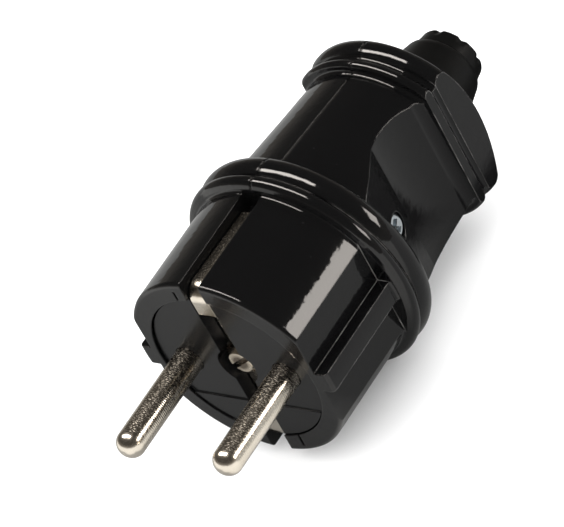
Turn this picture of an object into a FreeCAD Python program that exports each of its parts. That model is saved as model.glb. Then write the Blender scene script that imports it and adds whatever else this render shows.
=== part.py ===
import FreeCAD, Part

import math
import os

import Sketcher
from FreeCAD import Rotation, Vector

# Two-pole earthed mains plug in two half shells, to be wired by hand.
# Frame: the origin is the centre of the face that meets the socket. X runs through both pins,
# Y runs back towards the cord, and Z runs up through the upper earth contact.
# Lengths are millimetres. Widths and diameters are full ones, and lengths run along Y.

SIZES = {
    # Contact pins and their terminals
    "pin_diameter": 4.8,
    "pin_length": 19.0,
    "pin_spacing": 19.0,
    "pin_tip_round": 2.1,
    "pin_relief_diameter": 4.2,
    "pin_relief_width": 2.0,
    "terminal_diameter": 7.4,
    "terminal_length": 9.8,
    "wire_bore": 3.2,
    "wire_bore_depth": 6.6,
    "terminal_screw_setback": 5.0,
    # Small cheese head screws of the terminals and the cord clamp
    "screw_thread": 2.5,
    "screw_head": 4.6,
    "screw_head_height": 1.6,
    "screw_slot_width": 0.7,
    "screw_slot_depth": 0.8,
    "terminal_screw_reach": 2.8,
    "clamp_screw_reach": 5.5,
    # Pin carrier
    "carrier_diameter": 29.4,
    "carrier_setback": 0.5,
    "carrier_length": 10.4,
    "carrier_lip": 5.0,
    "carrier_neck_diameter": 25.4,
    "carrier_neck_width": 2.5,
    "carrier_step_height": 7.8,
    "carrier_step_depth": 0.25,
    # Earth strip, its screw, washer and terminal
    "strip_width": 3.3,
    "strip_thickness": 0.8,
    "strip_eye_diameter": 6.6,
    "strip_depth": 2.9,
    "strip_bend_height": 9.4,
    "strip_crest_height": 11.4,
    "strip_curl_radius": 2.6,
    "strip_curl_setback": 0.5,
    "strip_contact_height": 16.6,
    "strip_contact_drop": 0.4,
    "strip_contact_end": 17.4,
    "earth_screw_thread": 3.0,
    "earth_screw_head": 5.4,
    "earth_screw_head_height": 1.2,
    "earth_screw_slot_width": 0.9,
    "earth_screw_reach": 10.9,
    "washer_diameter": 6.2,
    "washer_thickness": 0.4,
    "earth_block_width": 7.0,
    "earth_block_length": 8.4,
    "earth_block_drop": 5.6,
    "earth_block_rise": 3.4,
    "earth_wire_drop": 2.6,
    "earth_wire_depth": 4.6,
    # Half shells: front body
    "front_diameter": 36.6,
    "front_length": 19.5,
    "rim_round": 0.7,
    "side_flats": 32.0,
    "rail_width": 3.7,
    "chamber_wall": 1.6,
    "strip_groove_floor": 15.2,
    "left_slit_offset": 3.5,
    "right_slit_offset": 4.8,
    "rim_slit_width": 0.5,
    "rim_slit_length": 1.7,
    "rim_slit_depth": 1.5,
    "parting_groove_width": 0.4,
    "parting_groove_depth": 0.25,
    # Half shells: double flange
    "flange_diameter": 40.4,
    "front_ridge_width": 2.5,
    "rear_ridge_width": 3.9,
    "ridge_crown": 0.6,
    "ridge_lean": 0.3,
    "ridge_gap_width": 0.3,
    "ridge_gap_depth": 0.35,
    "corner_round": 0.6,
    # Half shells: grip with a thumb scoop on each side
    "grip_front_diameter": 34.5,
    "grip_rear_diameter": 30.9,
    "grip_length": 22.4,
    "brow_width": 27.6,
    "brow_foot_width": 24.1,
    "brow_length": 5.2,
    "ramp_length": 4.5,
    "scoop_front_width": 20.4,
    "scoop_middle_width": 19.4,
    "scoop_rear_width": 21.2,
    "scoop_rise_setback": 2.2,
    "grip_wall": 2.1,
    "cavity_height": 24.0,
    "cavity_end_wall": 2.0,
    # Half shells: collar round the cord entry
    "collar_diameter": 34.2,
    "collar_flats": 24.4,
    "bead_width": 1.6,
    "collar_neck_width": 1.4,
    "collar_neck_depth": 0.6,
    "collar_crown": 0.5,
    "flat_groove_depth": 0.3,
    "ring_width": 2.9,
    "tail_diameter": 19.0,
    "tail_length": 3.4,
    "tail_crown": 0.3,
    # Stop walls behind the terminals
    "stop_wall": 1.5,
    "stop_wall_opening": 12.4,
    "stop_wire_hole": 4.0,
    # Housing screw and nut
    "housing_screw_setback": 5.3,
    "housing_screw_thread": 3.0,
    "housing_screw_head": 5.0,
    "housing_screw_head_height": 1.9,
    "housing_screw_seat": 1.7,
    "cross_recess_width": 0.9,
    "cross_recess_length": 3.2,
    "cross_recess_depth": 1.1,
    "post_diameter": 6.8,
    "nut_flats": 5.5,
    "nut_height": 2.2,
    # Cord clamp
    "clamp_setback": 3.4,
    "clamp_length": 6.0,
    "clamp_thickness": 2.0,
    "clamp_ear_margin": 0.4,
    # Bend relief sleeve
    "cord_diameter": 8.2,
    "sleeve_root_diameter": 18.0,
    "sleeve_root_width": 3.0,
    "sleeve_stem_diameter": 14.0,
    "sleeve_base_diameter": 17.0,
    "sleeve_ring_diameter": 12.8,
    "sleeve_taper_length": 7.4,
    "sleeve_end_diameter": 11.6,
    "sleeve_end_taper": 0.3,
    "sleeve_end_length": 3.2,
    "sleeve_end_round": 0.6,
    "sleeve_notch_width": 1.1,
    "sleeve_notch_depth": 0.7,
    # Fits
    "fit_gap": 0.2,
    "pin_gap": 0.1,
    "screw_gap": 0.15,
    "strip_gap": 0.25,
}

# Share of a corner's radius between the corner and the middle of its arc, along each axis
ARC_SHARE = 1 - math.sqrt(0.5)
NOTCH_COUNT = 8
NUT_SIDES = 6
SLOT_TURN = 33.0


class Size:
    """A length taken from the sheet, with the expression that gives it."""

    def __init__(self, value, text):
        self.value = value
        self.text = text

    def joined(self, sign, other, value):
        other_text = other.text if isinstance(other, Size) else repr(other)
        return Size(value, "(%s %s %s)" % (self.text, sign, other_text))

    def __add__(self, other):
        return self.joined("+", other, self.value + number(other))

    def __radd__(self, other):
        return self + other

    def __sub__(self, other):
        return self.joined("-", other, self.value - number(other))

    def __mul__(self, other):
        return self.joined("*", other, self.value * number(other))

    def __truediv__(self, other):
        return self.joined("/", other, self.value / number(other))

    def __neg__(self):
        return self * -1


def number(size):
    return size.value if isinstance(size, Size) else size


def square_root(size):
    return Size(math.sqrt(size.value), "sqrt(%s)" % size.text)


class Sheet:
    """The driving sizes, each with its own named cell."""

    def __init__(self, document, table):
        cells = document.addObject("Spreadsheet::Sheet", "Sizes")
        for row, (alias, value) in enumerate(table.items(), start=1):
            cells.set("A%d" % row, alias)
            cells.set("B%d" % row, str(value))
            cells.setAlias("B%d" % row, alias)
            setattr(self, alias, Size(value, "Sizes." + alias))


doc = FreeCAD.newDocument("Plug")
sz = Sheet(doc, SIZES)
doc.recompute()

# Radii and stations that several pieces share
pin_radius = sz.pin_diameter / 2
pin_reach = sz.pin_spacing / 2
terminal_radius = sz.terminal_diameter / 2
front_radius = sz.front_diameter / 2
carrier_radius = sz.carrier_diameter / 2
neck_radius = sz.carrier_neck_diameter / 2
lip_radius = carrier_radius + sz.fit_gap
chamber_radius = sz.side_flats / 2 - sz.chamber_wall
flange_radius = sz.flange_diameter / 2
collar_radius = sz.collar_diameter / 2
groove_width = sz.strip_width + sz.strip_gap * 2
groove_depth = sz.strip_depth + sz.strip_thickness
neck_rear = sz.carrier_lip + sz.carrier_neck_width
terminal_rear = sz.carrier_length + sz.terminal_length
ridge_meet = sz.front_length + sz.front_ridge_width
flange_rear = ridge_meet + sz.rear_ridge_width
grip_rear = flange_rear + sz.grip_length
bead_rear = grip_rear + sz.bead_width
collar_neck_rear = bead_rear + sz.collar_neck_width
collar_rear = collar_neck_rear + sz.ring_width
tail_rear = collar_rear + sz.tail_length
brow_rear = flange_rear + sz.brow_length
ramp_rear = brow_rear + sz.ramp_length
cavity_depth = sz.scoop_middle_width / 2 - sz.grip_wall
cavity_rear = grip_rear - sz.cavity_end_wall
housing_screw_y = flange_rear + sz.housing_screw_setback
housing_seat = cavity_depth + sz.housing_screw_seat
clamp_rear = cavity_rear - sz.clamp_setback + sz.clamp_length / 2
clamp_front = clamp_rear - sz.clamp_length
clamp_middle = clamp_rear - sz.clamp_length / 2
cord_radius = sz.cord_diameter / 2
clamp_crown = cord_radius + sz.clamp_thickness
clamp_foot = square_root(clamp_crown * clamp_crown - sz.clamp_thickness * sz.clamp_thickness)
clamp_screw_z = clamp_foot + sz.screw_head / 2 + sz.fit_gap
clamp_ear = clamp_screw_z + sz.screw_head / 2 + sz.clamp_ear_margin
collar_middle = (grip_rear + collar_rear) / 2
root_front = collar_middle - sz.sleeve_root_width / 2
root_rear = collar_middle + sz.sleeve_root_width / 2


# Drawing and feature helpers

def origin_item(body, role):
    return next(item for item in body.Origin.OriginFeatures if item.Role == role)


def new_body(label):
    body = doc.addObject("PartDesign::Body", label)
    body.Label = label
    return body


def new_sketch(body, name, role, shift=None):
    sketch = body.newObject("Sketcher::SketchObject", name)
    sketch.AttachmentSupport = [(origin_item(body, role), "")]
    sketch.MapMode = "FlatFace"
    if shift is not None:
        sketch.setExpression(".AttachmentOffset.Base.z", shift.text)
    return sketch


def bind(sketch, constraint, size):
    index = sketch.addConstraint(constraint)
    if isinstance(size, Size):
        sketch.setExpression("Constraints[%d]" % index, size.text)


def fix_point(sketch, geometry, end, x, y):
    """Tie a point of a sketch to its two distances from the sketch's origin."""
    for kind, axis, size in (("DistanceX", -2, x), ("DistanceY", -1, y)):
        value = number(size)
        if value == 0:
            sketch.addConstraint(Sketcher.Constraint("PointOnObject", geometry, end, axis))
        elif value > 0:
            bind(sketch, Sketcher.Constraint(kind, -1, 1, geometry, end, value), size)
        else:
            bind(sketch, Sketcher.Constraint(kind, geometry, end, -1, 1, -value), -size)


def flat(x, y):
    return Vector(number(x), number(y), 0)


def outline(sketch, points):
    """Closed outline. A third entry of a point is a point on the arc that leads to the next one."""
    ends = []
    for point, following in zip(points, points[1:] + points[:1]):
        start = flat(point[0], point[1])
        finish = flat(following[0], following[1])
        if len(point) == 2:
            geometry = sketch.addGeometry(Part.LineSegment(start, finish))
            ends.append((geometry, 1, 2))
            continue
        middle = flat(*point[2])
        geometry = sketch.addGeometry(Part.Arc(start, middle, finish))
        forward = sketch.getPoint(geometry, 1).distanceToPoint(start) < start.distanceToPoint(finish) / 2
        ends.append((geometry, 1, 2) if forward else (geometry, 2, 1))
    for (geometry, _, finish), (following, start, _) in zip(ends, ends[1:] + ends[:1]):
        sketch.addConstraint(Sketcher.Constraint("Coincident", geometry, finish, following, start))
    for point, (geometry, start, _) in zip(points, ends):
        fix_point(sketch, geometry, start, point[0], point[1])
        if len(point) == 3:
            mark = sketch.addGeometry(Part.Point(flat(*point[2])), True)
            fix_point(sketch, mark, 1, *point[2])
            sketch.addConstraint(Sketcher.Constraint("PointOnObject", mark, 1, geometry))


def rectangle(sketch, x_low, x_high, y_low, y_high):
    outline(sketch, [(x_low, y_low), (x_high, y_low), (x_high, y_high), (x_low, y_high)])


def circle(sketch, x, y, radius):
    shape = Part.Circle(flat(x, y), Vector(0, 0, 1), radius.value)
    geometry = sketch.addGeometry(shape)
    fix_point(sketch, geometry, 3, x, y)
    bind(sketch, Sketcher.Constraint("Radius", geometry, radius.value), radius)


def rounded(x_from, y_from, x_to, y_to, x_corner, y_corner):
    """A start point whose quarter arc leads to the end point, bulging to the corner."""
    x_middle = x_corner + (x_from + x_to - x_corner * 2) * ARC_SHARE
    y_middle = y_corner + (y_from + y_to - y_corner * 2) * ARC_SHARE
    return (x_from, y_from, (x_middle, y_middle))


def finish_feature(feature):
    """Work the feature out, and stop if it leaves the solid before it as it was."""
    doc.recompute()
    base = feature.BaseFeature
    if base is not None and math.isclose(base.Shape.Volume, feature.Shape.Volume, rel_tol=1e-9):
        raise RuntimeError("%s changes nothing" % feature.Name)
    return feature


def pad(body, sketch, name, length, turned=False, centred=False):
    feature = body.newObject("PartDesign::Pad", name)
    feature.Profile = sketch
    feature.setExpression("Length", length.text)
    feature.Reversed = turned
    feature.Midplane = centred
    return finish_feature(feature)


def pocket(body, sketch, name, depth=None, turned=False, centred=False):
    feature = body.newObject("PartDesign::Pocket", name)
    feature.Profile = sketch
    feature.Reversed = turned
    feature.Midplane = centred
    if depth is None:
        feature.Type = "ThroughAll"
    else:
        feature.setExpression("Length", depth.text)
    return finish_feature(feature)


def revolve(body, sketch, name, angle="360 deg"):
    feature = body.newObject("PartDesign::Revolution", name)
    feature.Profile = sketch
    feature.ReferenceAxis = (sketch, ["V_Axis"])
    feature.setExpression("Angle", angle)
    feature.Midplane = True
    return finish_feature(feature)


def place(item, x=None, y=None, z=None, rotation=None):
    if rotation is not None:
        item.Placement = FreeCAD.Placement(Vector(), rotation)
    for axis, size in (("x", x), ("y", y), ("z", z)):
        if size is not None:
            item.setExpression("Placement.Base." + axis, size.text)


# Half shells

def shell_section(side, inset=0):
    """Half section of a shell on one side of the parting plane, its outside drawn in by the inset."""
    outer_radius = front_radius - inset
    crest = flange_radius - inset
    collar_crest = collar_radius - inset
    ridge_foot = crest - sz.ridge_crown
    ridge_root = ridge_foot - sz.ridge_gap_depth
    bead_foot = collar_crest - sz.collar_crown
    neck_floor = bead_foot - sz.collar_neck_depth
    corner = sz.corner_round
    grip_front_radius = sz.grip_front_diameter / 2 - inset
    grip_rear_radius = sz.grip_rear_diameter / 2 - inset
    stem_bore = sz.sleeve_stem_diameter / 2 + sz.fit_gap
    root_bore = sz.sleeve_root_diameter / 2 + sz.fit_gap
    rib_front = sz.carrier_lip + sz.fit_gap
    rib_rear = neck_rear - sz.fit_gap
    rib_radius = neck_radius + sz.fit_gap
    front_crest = sz.front_length + sz.front_ridge_width / 2
    rear_crest = ridge_meet + sz.rear_ridge_width / 2
    bead_middle = grip_rear + sz.bead_width / 2
    neck_middle = bead_rear + sz.collar_neck_width / 2
    ring_middle = collar_neck_rear + sz.ring_width / 2
    tail_radius = sz.tail_diameter / 2 - inset
    dome = ((bead_foot + tail_radius) / 2, (collar_rear + tail_rear) / 2 + sz.tail_crown)
    gap = sz.ridge_gap_width / 2
    points = [
        (lip_radius, 0),
        rounded(outer_radius - sz.rim_round, 0, outer_radius, sz.rim_round, outer_radius, 0),
        (outer_radius, sz.rim_round),
        rounded(outer_radius, sz.front_length - corner, outer_radius + corner, sz.front_length,
                outer_radius, sz.front_length),
        (outer_radius + corner, sz.front_length),
        (ridge_foot, sz.front_length + sz.ridge_lean, (crest, front_crest)),
        (ridge_foot, ridge_meet - gap),
        (ridge_root, ridge_meet),
        (ridge_foot, ridge_meet + gap, (crest, rear_crest)),
        (ridge_foot, flange_rear - sz.ridge_lean),
        (grip_front_radius, flange_rear),
        rounded(grip_rear_radius, grip_rear - corner, grip_rear_radius + corner, grip_rear,
                grip_rear_radius, grip_rear),
        (grip_rear_radius + corner, grip_rear),
        (bead_foot, grip_rear, (collar_crest, bead_middle)),
        (bead_foot, bead_rear, (neck_floor, neck_middle)),
        (bead_foot, collar_neck_rear, (collar_crest, ring_middle)),
        (bead_foot, collar_rear, dome),
        (tail_radius, tail_rear),
        (stem_bore, tail_rear),
        (stem_bore, root_rear + sz.fit_gap),
        (root_bore, root_rear + sz.fit_gap),
        (root_bore, root_front - sz.fit_gap),
        (stem_bore, root_front - sz.fit_gap),
        (stem_bore, cavity_rear),
        (0, cavity_rear),
        (0, flange_rear),
        (chamber_radius, flange_rear),
        (chamber_radius, rib_rear),
        (rib_radius, rib_rear),
        (rib_radius, rib_front),
        (lip_radius, rib_front),
    ]
    return [sided(point, side) for point in points]


def sided(point, side):
    """A point of an outline, moved to the given side of the parting plane."""
    x, y, *arc = point
    return (x * side, y, *((middle_x * side, middle_y) for middle_x, middle_y in arc))


def cut_side_profile(body, side):
    """Thumb scoop on the grip, the brow that falls into it, and the flats of the collar behind it."""
    sketch = new_sketch(body, "side_profile", "XY_Plane")
    outside = flange_radius * side
    collar_flat = sz.collar_flats / 2
    groove_flat = collar_flat - sz.flat_groove_depth
    neck_middle = bead_rear + sz.collar_neck_width / 2
    scoop_rear = sz.scoop_rear_width / 2
    rise_front = grip_rear - sz.scoop_rise_setback
    scoop_middle = (ramp_rear + rise_front) / 2
    points = [
        (sz.brow_width / 2, flange_rear),
        (sz.brow_foot_width / 2, brow_rear),
        (sz.scoop_front_width / 2, ramp_rear, (sz.scoop_middle_width / 2, scoop_middle)),
        rounded(scoop_rear, rise_front, collar_flat, grip_rear, scoop_rear, grip_rear),
        (collar_flat, grip_rear),
        (collar_flat, bead_rear, (groove_flat, neck_middle)),
        (collar_flat, collar_neck_rear),
        (collar_flat, tail_rear),
    ]
    outline(sketch, [sided(point, side) for point in points] + [(outside, tail_rear), (outside, flange_rear)])
    pocket(body, sketch, "side_profile_cut", flange_radius * 2, centred=True)


def cut_socket_guides(body, side):
    """Two flats on the front body, with the guide rail left standing between them."""
    sketch = new_sketch(body, "guide_flats", "XZ_Plane")
    rail = sz.rail_width / 2
    for end in (1, -1):
        rectangle(sketch, sz.side_flats / 2 * side, flange_radius * side, rail * end, front_radius * end)
    pocket(body, sketch, "guide_flats_cut", sz.front_length)


def cut_strip_grooves(body, side):
    """Half of the groove for the earth strip, above and below, and its way in through the rim."""
    groove = new_sketch(body, "strip_groove", "XZ_Plane")
    gate = new_sketch(body, "strip_gate", "XZ_Plane")
    edge = groove_width / 2 * side
    for end in (1, -1):
        rectangle(groove, 0, edge, sz.strip_groove_floor * end, flange_radius * end)
        rectangle(gate, 0, edge, neck_radius * end, flange_radius * end)
    pocket(body, groove, "strip_groove_cut", sz.front_length)
    pocket(body, gate, "strip_gate_cut", sz.carrier_lip + sz.fit_gap)
    slit = new_sketch(body, "rim_slit", "XZ_Plane")
    slit_edge = sz.right_slit_offset if side > 0 else -sz.left_slit_offset
    slit_floor = (carrier_radius - sz.rim_slit_length) * -side
    slit_top = (carrier_radius + sz.rim_slit_length) * -side
    rectangle(slit, slit_edge, slit_edge + sz.rim_slit_width * side, slit_floor, slit_top)
    pocket(body, slit, "rim_slit_cut", sz.rim_slit_depth)


def cut_cavity(body, side):
    """Wiring space of the grip, round the half post that takes the housing screw."""
    sketch = new_sketch(body, "cavity", "YZ_Plane")
    height = sz.cavity_height / 2
    rectangle(sketch, flange_rear - sz.stop_wall, cavity_rear, -height, height)
    circle(sketch, housing_screw_y, 0, sz.post_diameter / 2)
    pocket(body, sketch, "cavity_cut", cavity_depth, turned=side > 0)
    hole = new_sketch(body, "housing_screw_hole", "YZ_Plane")
    circle(hole, housing_screw_y, 0, sz.housing_screw_thread / 2 + sz.screw_gap)
    pocket(body, hole, "housing_screw_hole_cut", turned=side > 0)


def add_stop_wall(body, side):
    """Wall behind a terminal, which keeps the pin from being pushed in, with a hole for its wire."""
    sketch = new_sketch(body, "stop_wall", "XZ_Plane", -(terminal_rear + sz.pin_gap))
    rim = chamber_radius + sz.chamber_wall / 2
    inner = sz.stop_wall_opening / 2
    height = square_root(rim * rim - inner * inner)
    points = [(inner, -height, (rim, 0)), (inner, height)]
    outline(sketch, [sided(point, side) for point in points])
    circle(sketch, pin_reach * side, 0, sz.stop_wire_hole / 2)
    pad(body, sketch, "stop_wall_pad", sz.stop_wall, turned=True)


def half_shell(label, side):
    body = new_body(label)
    core = new_sketch(body, "core_section", "XY_Plane")
    outline(core, shell_section(side, sz.parting_groove_depth))
    revolve(body, core, "core", "180 deg")
    skin = new_sketch(body, "skin_section", "XY_Plane")
    outline(skin, shell_section(side))
    groove_share = sz.parting_groove_width / 2 / flange_radius
    revolve(body, skin, "skin", "180 deg - 2 * asin(%s)" % groove_share.text)
    cut_side_profile(body, side)
    cut_socket_guides(body, side)
    cut_strip_grooves(body, side)
    cut_cavity(body, side)
    add_stop_wall(body, side)
    return body


def right_half_shell():
    """The half with the round well for the housing screw's head."""
    body = half_shell("right_half_shell", 1)
    well = new_sketch(body, "head_well", "YZ_Plane", housing_seat)
    circle(well, housing_screw_y, 0, sz.housing_screw_head / 2 + sz.fit_gap)
    pocket(body, well, "head_well_cut", turned=True)
    return body


def left_half_shell():
    """The half with the pocket for the nut and the cradle under the cord."""
    body = half_shell("left_half_shell", -1)
    well = new_sketch(body, "nut_well", "YZ_Plane", -housing_seat)
    reach = nut_corner_radius(sz.nut_flats + sz.fit_gap * 2)
    outline(well, nut_outline(reach, housing_screw_y))
    pocket(body, well, "nut_well_cut")
    cradle = new_sketch(body, "cradle", "XZ_Plane", -clamp_front)
    foot = -(cavity_depth + sz.grip_wall / 2)
    outline(cradle, [(0, clamp_ear), (0, cord_radius, (-cord_radius, 0)), (0, -cord_radius),
                     (0, -clamp_ear), (foot, -clamp_ear), (foot, clamp_ear)])
    pad(body, cradle, "cradle_pad", sz.clamp_length, turned=True)
    pilots = new_sketch(body, "clamp_pilots", "YZ_Plane")
    for end in (1, -1):
        circle(pilots, clamp_middle, clamp_screw_z * end, sz.screw_thread / 2 + sz.screw_gap)
    pocket(body, pilots, "clamp_pilot_holes", sz.clamp_screw_reach + sz.fit_gap)
    return body


def nut_corner_radius(flats):
    return flats / (2 * math.cos(math.pi / NUT_SIDES))


def nut_outline(radius, centre):
    """Corners of a hexagon with two of its flats level."""
    corners = []
    for step in range(NUT_SIDES):
        angle = 2 * math.pi * step / NUT_SIDES
        height = radius * math.sin(angle) if step % (NUT_SIDES // 2) else 0
        corners.append((centre + radius * math.cos(angle), height))
    return corners


# Pin carrier and pins

def pin_carrier():
    """Moulded disc that holds both pins, gripped at its neck by a rib of the shells."""
    body = new_body("pin_carrier")
    section = new_sketch(body, "section", "XY_Plane")
    rear_radius = chamber_radius - sz.fit_gap
    step_front = sz.carrier_setback - sz.carrier_step_depth
    outline(section, [(0, step_front), (carrier_radius, step_front), (carrier_radius, sz.carrier_lip),
                      (neck_radius, sz.carrier_lip), (neck_radius, neck_rear), (rear_radius, neck_rear),
                      (rear_radius, sz.carrier_length), (0, sz.carrier_length)])
    revolve(body, section, "disc")
    step = new_sketch(body, "step", "XZ_Plane")
    rectangle(step, -carrier_radius, carrier_radius, -sz.carrier_step_height, carrier_radius)
    pocket(body, step, "step_cut", sz.carrier_setback)
    groove = new_sketch(body, "strip_groove", "XZ_Plane")
    rectangle(groove, -groove_width / 2, groove_width / 2, -carrier_radius, carrier_radius)
    pocket(body, groove, "strip_groove_cut", groove_depth)
    recess = new_sketch(body, "head_recess", "XZ_Plane")
    circle(recess, 0, 0, sz.strip_eye_diameter / 2 + sz.fit_gap)
    pocket(body, recess, "head_recess_cut", groove_depth)
    holes = new_sketch(body, "holes", "XZ_Plane")
    circle(holes, 0, 0, sz.earth_screw_thread / 2 + sz.screw_gap)
    for side in (1, -1):
        circle(holes, pin_reach * side, 0, pin_radius + sz.pin_gap)
    pocket(body, holes, "holes_cut")
    return body


def contact_pin(label, side):
    """Turned pin with a rounded end, a relief groove at the face and a terminal behind the carrier."""
    body = new_body(label)
    section = new_sketch(body, "section", "XY_Plane")
    tip = -sz.pin_length
    tip_round = sz.pin_tip_round
    relief = sz.pin_relief_diameter / 2
    relief_rear = sz.carrier_setback + sz.pin_relief_width
    outline(section, [(0, tip),
                      rounded(pin_radius - tip_round, tip, pin_radius, tip + tip_round, pin_radius, tip),
                      (pin_radius, tip + tip_round), (pin_radius, sz.carrier_setback),
                      (relief, sz.carrier_setback), (relief, relief_rear), (pin_radius, relief_rear),
                      (pin_radius, sz.carrier_length), (terminal_radius, sz.carrier_length),
                      (terminal_radius, terminal_rear), (0, terminal_rear)])
    revolve(body, section, "turned_pin")
    bore = new_sketch(body, "wire_bore", "XZ_Plane", -terminal_rear)
    circle(bore, 0, 0, sz.wire_bore / 2)
    pocket(body, bore, "wire_bore_cut", sz.wire_bore_depth, turned=True)
    hole = new_sketch(body, "screw_hole", "XY_Plane")
    circle(hole, 0, sz.carrier_length + sz.terminal_screw_setback, sz.screw_thread / 2 + sz.screw_gap)
    pocket(body, hole, "screw_hole_cut")
    place(body, x=pin_reach * side)
    return body


# Screws, made upright with the underside of the head at the height zero

def round_bar(name, diameter, height):
    bar = doc.addObject("Part::Cylinder", name)
    bar.setExpression("Radius", (diameter / 2).text)
    bar.setExpression("Height", height.text)
    return bar


def slot_block(name, length, width, depth, head_height, turn=0.0):
    block = doc.addObject("Part::Box", name)
    block.setExpression("Length", length.text)
    block.setExpression("Width", width.text)
    block.setExpression("Height", depth.text)
    block.Placement = FreeCAD.Placement(Vector(), Rotation(Vector(0, 0, 1), turn))
    across = math.cos(math.radians(turn))
    along = math.sin(math.radians(turn))
    place(block, x=length * (-across / 2) + width * (along / 2),
          y=length * (-along / 2) - width * (across / 2), z=head_height - depth)
    return block


def joined(name, kind, base, tool):
    item = doc.addObject(kind, name)
    item.Base = base
    item.Tool = tool
    return item


def screw(name, thread, reach, head, head_height, slots):
    """A screw with its shank down and its head up, cut by the given slot blocks."""
    shank = round_bar(name + "_shank", thread, reach)
    place(shank, z=-reach)
    top = round_bar(name + "_head", head, head_height)
    item = joined(name + "_blank", "Part::Fuse", shank, top)
    for index, slot in enumerate(slots):
        item = joined("%s_slotted_%d" % (name, index), "Part::Cut", item, slot)
    return item


def cheese_head_screw(name, reach):
    slot = slot_block(name + "_slot", sz.screw_head, sz.screw_slot_width, sz.screw_slot_depth,
                      sz.screw_head_height)
    return screw(name, sz.screw_thread, reach, sz.screw_head, sz.screw_head_height, [slot])


def grouped(label, items):
    group = doc.addObject("Part::Compound", label)
    group.Label = label
    group.Links = items
    return group


def terminal_screws():
    """The screws that hold the two live wires and the earth wire."""
    items = []
    for name, x, seat in (("left_terminal_screw", -pin_reach, terminal_radius),
                          ("right_terminal_screw", pin_reach, terminal_radius),
                          ("earth_terminal_screw", None, sz.earth_block_drop)):
        item = cheese_head_screw(name, sz.terminal_screw_reach)
        place(item, x=x, y=sz.carrier_length + sz.terminal_screw_setback, z=-seat,
              rotation=Rotation(Vector(1, 0, 0), 180))
        items.append(item)
    return grouped("terminal_screws", items)


def clamp_screws():
    """The two screws that draw the clamp down on the cord."""
    items = []
    for name, end in (("upper_clamp_screw", 1), ("lower_clamp_screw", -1)):
        item = cheese_head_screw(name, sz.clamp_thickness + sz.clamp_screw_reach)
        place(item, x=sz.clamp_thickness, y=clamp_middle, z=clamp_screw_z * end,
              rotation=Rotation(Vector(0, 1, 0), 90))
        items.append(item)
    return grouped("clamp_screws", items)


def earth_screw():
    """The screw in the middle of the face, which joins the strip to the earth terminal."""
    slot = slot_block("earth_screw_slot", sz.earth_screw_head, sz.earth_screw_slot_width, sz.screw_slot_depth,
                      sz.earth_screw_head_height, SLOT_TURN)
    item = screw("earth_screw", sz.earth_screw_thread, sz.earth_screw_reach, sz.earth_screw_head,
                 sz.earth_screw_head_height, [slot])
    place(item, y=sz.strip_depth - sz.washer_thickness, rotation=Rotation(Vector(1, 0, 0), 90))
    item.Label = "earth_screw"
    return item


def housing_screw():
    """The cross head screw that holds the two shells together."""
    slots = [slot_block("cross_recess_%d" % turn, sz.cross_recess_length, sz.cross_recess_width,
                        sz.cross_recess_depth, sz.housing_screw_head_height, turn) for turn in (45, 135)]
    item = screw("housing_screw", sz.housing_screw_thread, housing_seat * 2 + sz.nut_height,
                 sz.housing_screw_head, sz.housing_screw_head_height, slots)
    place(item, x=housing_seat, y=housing_screw_y, rotation=Rotation(Vector(0, 1, 0), 90))
    item.Label = "housing_screw"
    return item


def housing_nut():
    """The hexagon nut in the left shell."""
    body = new_body("housing_nut")
    section = new_sketch(body, "hexagon", "YZ_Plane", -housing_seat)
    outline(section, nut_outline(nut_corner_radius(sz.nut_flats), housing_screw_y))
    circle(section, housing_screw_y, 0, sz.housing_screw_thread / 2 + sz.screw_gap)
    pad(body, section, "nut", sz.nut_height, turned=True)
    return body


# Earth strip, washer and terminal

def earth_strip():
    """Plated strip across the face that curls over the rim into a contact above and one below."""
    body = new_body("earth_strip")
    section = new_sketch(body, "section", "YZ_Plane")
    curl = sz.strip_curl_radius
    inner_curl = curl - sz.strip_thickness
    centre_y = sz.strip_curl_setback + curl
    centre_z = sz.strip_contact_height - curl
    outer_share = curl * math.sqrt(0.5)
    inner_share = inner_curl * math.sqrt(0.5)
    crest_back = sz.strip_curl_setback + sz.strip_thickness
    tail_top = sz.strip_contact_height - sz.strip_contact_drop
    end = sz.strip_contact_end
    front = [
        (sz.strip_depth, sz.strip_bend_height),
        (sz.strip_curl_setback, sz.strip_crest_height),
        (sz.strip_curl_setback, centre_z, (centre_y - outer_share, centre_z + outer_share)),
        (centre_y, sz.strip_contact_height),
        (end, tail_top),
    ]
    back = [
        (end, tail_top - sz.strip_thickness),
        (centre_y, centre_z + inner_curl, (centre_y - inner_share, centre_z + inner_share)),
        (crest_back, centre_z),
        (crest_back, sz.strip_crest_height),
        (groove_depth, sz.strip_bend_height),
    ]
    outline(section, front + back + mirrored(back) + mirrored(front))
    pad(body, section, "strip", sz.strip_width, centred=True)
    eye = new_sketch(body, "eye", "XZ_Plane", -sz.strip_depth)
    circle(eye, 0, 0, sz.strip_eye_diameter / 2)
    pad(body, eye, "eye_pad", sz.strip_thickness, turned=True)
    hole = new_sketch(body, "screw_hole", "XZ_Plane")
    circle(hole, 0, 0, sz.earth_screw_thread / 2 + sz.screw_gap)
    pocket(body, hole, "screw_hole_cut")
    return body


def mirrored(points):
    """The points below the axis that match those above it, in reverse order, with their arcs."""
    result = []
    for index in range(len(points) - 1, -1, -1):
        y, z, *_ = points[index]
        leading = points[index - 1] if index else ()
        arc = tuple((arc_y, -arc_z) for arc_y, arc_z in leading[2:])
        result.append((y, -z, *arc))
    return result


def earth_washer():
    body = new_body("earth_washer")
    section = new_sketch(body, "section", "XZ_Plane", -(sz.strip_depth - sz.washer_thickness))
    circle(section, 0, 0, sz.washer_diameter / 2)
    circle(section, 0, 0, sz.earth_screw_thread / 2 + sz.screw_gap)
    pad(body, section, "ring", sz.washer_thickness, turned=True)
    return body


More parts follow.
